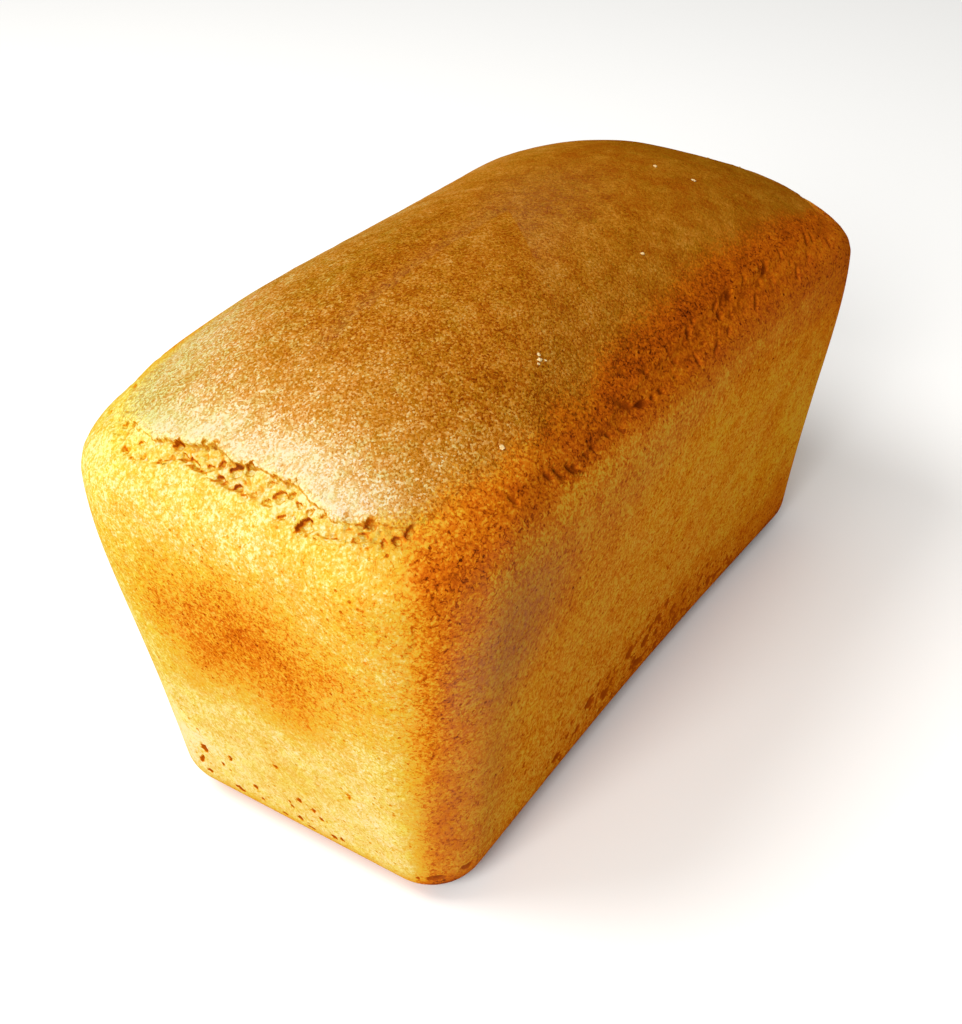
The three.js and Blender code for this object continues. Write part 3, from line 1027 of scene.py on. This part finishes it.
def baked_crust():
    material, tree, shader = blank_material("baked_wheat_crust")
    place = add(tree, "ShaderNodeTexCoord", {}, {}).outputs["Object"]

    def on_mesh(name):
        return add(tree, "ShaderNodeAttribute", {"attribute_name": name}, {}).outputs["Fac"]

    def figure(operation, *values):
        inputs = dict(enumerate(values))
        return add(tree, "ShaderNodeMath", {"operation": operation}, inputs).outputs[0]

    def stretch(value, low, high):
        """0 where the value is low, 1 where it is high."""
        inputs = {"Value": value, "From Min": low, "From Max": high}
        return add(tree, "ShaderNodeMapRange", {}, inputs).outputs["Result"]

    def cloud(size, detail, roughness, distortion, low, high):
        """Fine patches of about that size, stretched so that most of them reach 0 or 1."""
        inputs = {"Vector": place, "Scale": 1 / size, "Detail": detail, "Roughness": roughness}
        inputs["Distortion"] = distortion
        fac = add(tree, "ShaderNodeTexNoise", {}, inputs).outputs["Fac"]
        return stretch(fac, low, high)

    def colours(stops, fac):
        ramp = add(tree, "ShaderNodeValToRGB", {}, {"Fac": fac})
        ends = ramp.color_ramp.elements
        for stop, (position, code) in zip(list(ends), (stops[0], stops[-1])):
            stop.position, stop.color = position, paint(code)
        for position, code in stops[1:-1]:
            ends.new(position).color = paint(code)
        return ramp.outputs["Color"]

    def grains(size):
        """Cells of about that size: a random value for each, and the distance from its middle."""
        cells = add(tree, "ShaderNodeTexVoronoi", {}, {"Vector": place, "Scale": 1 / size})
        chance = add(tree, "ShaderNodeSeparateColor", {}, {"Color": cells.outputs["Color"]})
        return chance.outputs[0], cells.outputs["Distance"]

    dome, baked, painted_shade, torn = on_mesh("dome"), on_mesh("baked"), on_mesh("painted_shade"), on_mesh("torn")
    mauve_and_shade = on_mesh("mauve_and_shade")
    grain = cloud(GRAIN_SIZE, 2, 0.6, 0.0, 0.34, 0.66)
    sand, sand_middle = grains(SAND_SIZE)
    sparkle = stretch(sand, 0.86, 1.0)
    mottle = cloud(MOTTLE_SIZE, 4, 0.7, 0.3, 0.32, 0.68)
    blotch = cloud(BLOTCH_SIZE, 3, 0.65, 0.2, 0.34, 0.66)
    # Short wavering strokes, where a soft pattern crosses its middle value.
    crossing = add(tree, "ShaderNodeTexNoise", {}, {
        "Vector": place, "Scale": 1 / STROKE_SIZE, "Detail": 1, "Distortion": 0.7,
    }).outputs["Fac"]
    line = stretch(figure("ABSOLUTE", figure("SUBTRACT", crossing, 0.5)), 0.055, 0.015)
    stroke = figure("MULTIPLY", line, cloud(STROKE_GAPS, 1, 0.5, 0.0, 0.45, 0.56))
    stroke = figure("MULTIPLY", stroke, figure("SUBTRACT", 1.0, torn))
    # Pores about 0.8 mm across, some 3 mm apart, of which half are left out.
    chosen, middle = grains(PORE_SPACING)
    pore = figure("MULTIPLY", stretch(middle, 0.17, 0.1), stretch(chosen, 0.45, 0.6))

    def centred(value):
        return figure("SUBTRACT", value, 0.5)

    # The near end of the tin held the dough less tightly, and the crust is coarser there, on its
    # upper part most of all. The sand on the dome thins out towards the far end.
    spot = add(tree, "ShaderNodeSeparateXYZ", {}, {"Vector": place})
    at_end = stretch(figure("ABSOLUTE", spot.outputs["X"]), 68 * MM, 98 * MM)
    upper = figure("MULTIPLY", at_end, stretch(spot.outputs["Z"], 30 * MM, 75 * MM))
    near_side = stretch(spot.outputs["X"], 90 * MM, -40 * MM)
    near_top = stretch(spot.outputs["X"], 45 * MM, -75 * MM)
    rough = figure("MULTIPLY_ADD", upper, 0.55, 0.5)
    rough = figure("MULTIPLY_ADD", figure("SUBTRACT", near_side, at_end), 0.45, rough)
    # Each pattern adds up to half of its weight to how brown the crust is, or takes as much off.
    tin = figure("MULTIPLY", centred(blotch), 0.16)
    tin = figure("MULTIPLY_ADD", centred(grain), 0.12, tin)
    tin = figure("MULTIPLY_ADD", centred(sand), 0.16, tin)
    tin = figure("MULTIPLY", tin, figure("MAXIMUM", rough, 0.5))
    tin = figure("MULTIPLY_ADD", centred(mottle), 0.12, tin)
    tin = figure("MULTIPLY_ADD", stroke, figure("MULTIPLY_ADD", baked, 0.16, 0.13), tin)
    tin = figure("MULTIPLY_ADD", pore, 0.26, tin)
    # Flour that stayed pale in the grain, and painted glints on the sand, most of all where the dome
    # baked least.
    pale_flour_and_glints = figure("MULTIPLY", sparkle, stretch(baked, 0.8, 0.4))
    sandy = figure("MULTIPLY", centred(sand), figure("MULTIPLY_ADD", near_top, 0.5, 0.13))
    sandy = figure("MULTIPLY_ADD", centred(grain), figure("MULTIPLY_ADD", near_top, 0.07, 0.15), sandy)
    sandy = figure("MULTIPLY_ADD", centred(mottle), 0.26, sandy)
    sandy = figure("MULTIPLY_ADD", figure("MULTIPLY", pale_flour_and_glints, near_top), -0.3, sandy)
    sandy = figure("MULTIPLY", sandy, figure("MULTIPLY_ADD", stretch(baked, 0.0, 0.5), 0.5, 0.5))
    sandy = figure("MULTIPLY_ADD", stretch(baked, 0.25, 0.45), 0.035, sandy)
    # The grain makes the edge between the two skins ragged.
    open_side = stretch(figure("MULTIPLY_ADD", centred(grain), 0.6, dome), 0.2, 0.8)
    skin = add(tree, "ShaderNodeMix", {}, {0: open_side, 2: tin, 3: sandy}).outputs[0]
    brown = figure("ADD", baked, skin)
    # Pockets and pits are browner than their rims: in the pockets this is painted shade, under the upper
    # rim and on the floor, and in the pits it is the darker crust of the blisters.
    uneven = figure("MULTIPLY", centred(grain), 0.3)
    pit = on_mesh("pit")
    deepest = figure("MAXIMUM", stretch(painted_shade, 0.8, 1.4), stretch(pit, 1.15, 1.4))
    shade_and_blister_brown = figure("MULTIPLY_ADD", deepest, 0.14, 0.74)
    in_pocket = stretch(figure("ADD", painted_shade, uneven), 0.22, 1.0)
    in_pit = stretch(figure("ADD", pit, uneven), 0.3, 0.75)
    sunk = figure("MAXIMUM", in_pocket, in_pit)
    brown = add(tree, "ShaderNodeMix", {}, {0: sunk, 2: brown, 3: shade_and_blister_brown}).outputs[0]

    def blended(way, factor, under, over):
        inputs = {0: factor, 6: under, 7: over}
        return add(tree, "ShaderNodeMix", {"data_type": "RGBA", "blend_type": way}, inputs).outputs[2]

    colour = blended("MIX", open_side, colours(TIN_COLOURS, brown), colours(OPEN_COLOURS, brown))
    wide, narrow = CAST_SIZES
    hue = figure("MULTIPLY_ADD", cloud(wide, 5, 0.75, 0.0, 0.25, 0.75), 0.5, 0.25)
    hue = figure("MULTIPLY_ADD", centred(cloud(narrow, 3, 0.6, 0.0, 0.3, 0.7)), 0.5, hue)
    hue = figure("MULTIPLY_ADD", mauve_and_shade, 0.4, hue)
    cast = blended("MIX", open_side, colours(TIN_CASTS, hue), colours(OPEN_CASTS, hue))
    colour = blended("MULTIPLY", 1.0, colour, cast)
    # A greyish bloom of flour fat, where the tin was greased. It dulls the brown, and the dulling is
    # also painted shade round the near corner, high on the near side and over the middle of the dome.
    shade_and_bloom = stretch(mauve_and_shade, 0.0, 1.0)
    colour = blended("MULTIPLY", shade_and_bloom, colour, paint(GREASE_AND_SHADE_DULLS))
    bloom = figure("MULTIPLY", shade_and_bloom, figure("MULTIPLY_ADD", blotch, 0.14, 0.05))
    colour = blended("MIX", bloom, colour, paint(GREASE_BLOOM))
    tree.links.new(colour, shader.inputs["Base Color"])

    height = figure("MULTIPLY", stretch(sand_middle, 0.6, 0.0), sand)
    height = figure("MULTIPLY_ADD", grain, 0.5, height)
    height = figure("MULTIPLY", height, figure("MULTIPLY_ADD", dome, 0.6, 0.3))
    height = figure("MULTIPLY_ADD", stroke, -0.3, height)
    height = figure("MULTIPLY_ADD", pore, -0.9, height)
    height = figure("MULTIPLY_ADD", figure("MULTIPLY", blotch, torn), 0.8, height)
    bump = add(tree, "ShaderNodeBump", {}, {"Strength": 0.7, "Distance": BUMP_HEIGHT, "Height": height})
    tree.links.new(bump.outputs["Normal"], shader.inputs["Normal"])
    shader.inputs["Roughness"].default_value = 0.55
    shader.inputs["Specular IOR Level"].default_value = 0.0
    return material


loaf.data.materials.append(baked_crust())
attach(loaf, "root")
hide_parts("loaf")


# ---- Loose crumbs ------------------------------------------------------------------------------
# Crumbs of the pale inside of the loaf, which broke off along the tear and came to lie on the
# crust. They are dry and light, and nothing but their weight holds them.
CRUMBS = (
    # x and y in mm, size in mm
    (-69, -43, 1.0),
    (10, -31.5, 0.9),
    (56, -21.5, 0.9),
    (-44.2, -36.4, 0.9),
    (-43.2, -35.6, 0.7),
    (-45.3, -36.9, 0.6),
    (-43, -37.2, 0.5),
    (54, -11, 0.9),
)
# The small ones lie by the tear at either end, spread over a few turns and over shares of the dome.
SMALL_CRUMBS = 16
SMALL_CRUMB_SIZE = (0.4, 0.8)
SMALL_CRUMB_TURNS = (-0.06, 0.06)
SMALL_CRUMB_SHARES = (0.86, 0.97)
CRUMB_LUMPS = 0.9
CRUMB_LENGTH = (1, 1.5)
CRUMB_FLATNESS = 0.5
CRUMB_SEAT = 0.6
HIGH_ABOVE = 200 * MM


def make_crumbs():
    crust = bmesh.new()
    crust.from_mesh(loaf.data)
    surface = bvhtree.BVHTree.FromBMesh(crust)
    crust.free()
    luck = random.Random(5)
    wanted = list(CRUMBS)
    for _ in range(SMALL_CRUMBS):
        turn = luck.choice((0, 0.5)) + luck.uniform(*SMALL_CRUMB_TURNS)
        place = dome_point(turn, luck.uniform(*SMALL_CRUMB_SHARES)) / MM
        wanted.append((place.x, place.y, luck.uniform(*SMALL_CRUMB_SIZE)))
    bm = bmesh.new()
    for x, y, size in wanted:
        ground, normal, *_ = surface.ray_cast(Vector((x * MM, y * MM, HIGH_ABOVE)), Vector((0, 0, -1)))
        crumb = bmesh.ops.create_icosphere(bm, subdivisions=2, radius=size / 2 * MM)["verts"]
        for vert in crumb:
            vert.co *= 1 + CRUMB_LUMPS * wander(vert.co + ground, 0.4 * size * MM)
        bmesh.ops.scale(bm, vec=(luck.uniform(*CRUMB_LENGTH), 1, CRUMB_FLATNESS), verts=crumb)
        spin = Matrix.Rotation(luck.uniform(0, 2 * math.pi), 3, "Z")
        lie = normal.to_track_quat("Z", "Y").to_matrix()
        bmesh.ops.rotate(bm, cent=(0, 0, 0), matrix=lie @ spin, verts=crumb)
        seat = ground + normal * size / 2 * MM * CRUMB_FLATNESS * CRUMB_SEAT
        bmesh.ops.translate(bm, vec=seat, verts=crumb)
    return bm


crumbs = finished("loose_crumbs", make_crumbs())


# Dry wheat crumb: chalky, and pale but for a little toasting.
def dry_crumb():
    material, tree, shader = blank_material("dry_wheat_crumb")
    place = add(tree, "ShaderNodeTexCoord", {}, {}).outputs["Object"]
    toasted = add(tree, "ShaderNodeTexNoise", {}, {"Vector": place, "Scale": 1 / (0.6 * MM)})
    ramp = add(tree, "ShaderNodeValToRGB", {}, {"Fac": toasted.outputs["Fac"]})
    for stop, position, code in zip(ramp.color_ramp.elements, (0.35, 0.75), ("#D8C490", "#B98A45")):
        stop.position = position
        stop.color = paint(code)
    tree.links.new(ramp.outputs["Color"], shader.inputs["Base Color"])
    shader.inputs["Roughness"].default_value = 0.9
    return material


crumbs.data.materials.append(dry_crumb())
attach(crumbs, "root")


# ---- Floor -------------------------------------------------------------------------------------
# A pale matte board, far wider than the view.
board = bmesh.new()
bmesh.ops.create_grid(board, x_segments=1, y_segments=1, size=3)
floor = finished("floor", board)
matte_board, _, shader = blank_material("matte_white_board")
shader.inputs["Base Color"].default_value = paint("#F4F3F0")
shader.inputs["Roughness"].default_value = 0.9
floor.data.materials.append(matte_board)


# ---- Light -------------------------------------------------------------------------------------
# Plain soft studio light: a broad lamp towards the near end, one overhead and a white room.
LIGHTS = (
    # name, place in m, width in m, power in W
    ("window", Vector((-1.1, -0.15, 0.75)), 0.7, 15.5),
    ("overhead", Vector((-0.35, 0.45, 0.95)), 0.6, 8),
)
TARGET = Vector((0, 0, 60 * MM))
ROOM_BRIGHTNESS = 0.5


def add_light(name, position, size, power):
    lamp = bpy.data.lights.new(name, "AREA")
    lamp.shape = "DISK"
    lamp.size = size
    lamp.energy = power
    holder = place_object(name, lamp)
    holder.location = position
    holder.rotation_euler = (position - TARGET).to_track_quat("Z", "Y").to_euler()


for light in LIGHTS:
    add_light(*light)
world = bpy.data.worlds.new("room")
bpy.context.scene.world = world
world.use_nodes = True
world.node_tree.nodes["Background"].inputs["Color"].default_value = (1, 1, 1, 1)
world.node_tree.nodes["Background"].inputs["Strength"].default_value = ROOM_BRIGHTNESS
bpy.context.scene.view_settings.view_transform = "Standard"


# ---- Camera ------------------------------------------------------------------------------------
# It stands off the near corner and looks down on the loaf. The lens is for a sensor whose long
# side is 36 mm.
AZIMUTH = math.radians(-55.25)
ELEVATION = math.radians(36.112)
ROLL = math.radians(-1.604)
DISTANCE = 406.468 * MM
ASIDE = -8.217 * MM
ABOVE = -14.215 * MM
SENSOR = 36
LENS = 53.1006

back = Vector((
    math.sin(AZIMUTH) * math.cos(ELEVATION),
    -math.cos(AZIMUTH) * math.cos(ELEVATION),
    math.sin(ELEVATION),
))
level = Vector((0, 0, 1)).cross(back).normalized()
upright = back.cross(level)
right = level * math.cos(ROLL) + upright * math.sin(ROLL)
up = upright * math.cos(ROLL) - level * math.sin(ROLL)
camera = place_object("camera", bpy.data.cameras.new("camera"))
camera.data.lens = LENS
camera.data.sensor_width = SENSOR
camera.data.clip_start = 0.01
camera.matrix_world = Matrix.Translation(TARGET + ASIDE * right + ABOVE * up + DISTANCE * back) @ (
    Matrix((right, up, back)).transposed().to_4x4()
)
bpy.context.scene.camera = camera
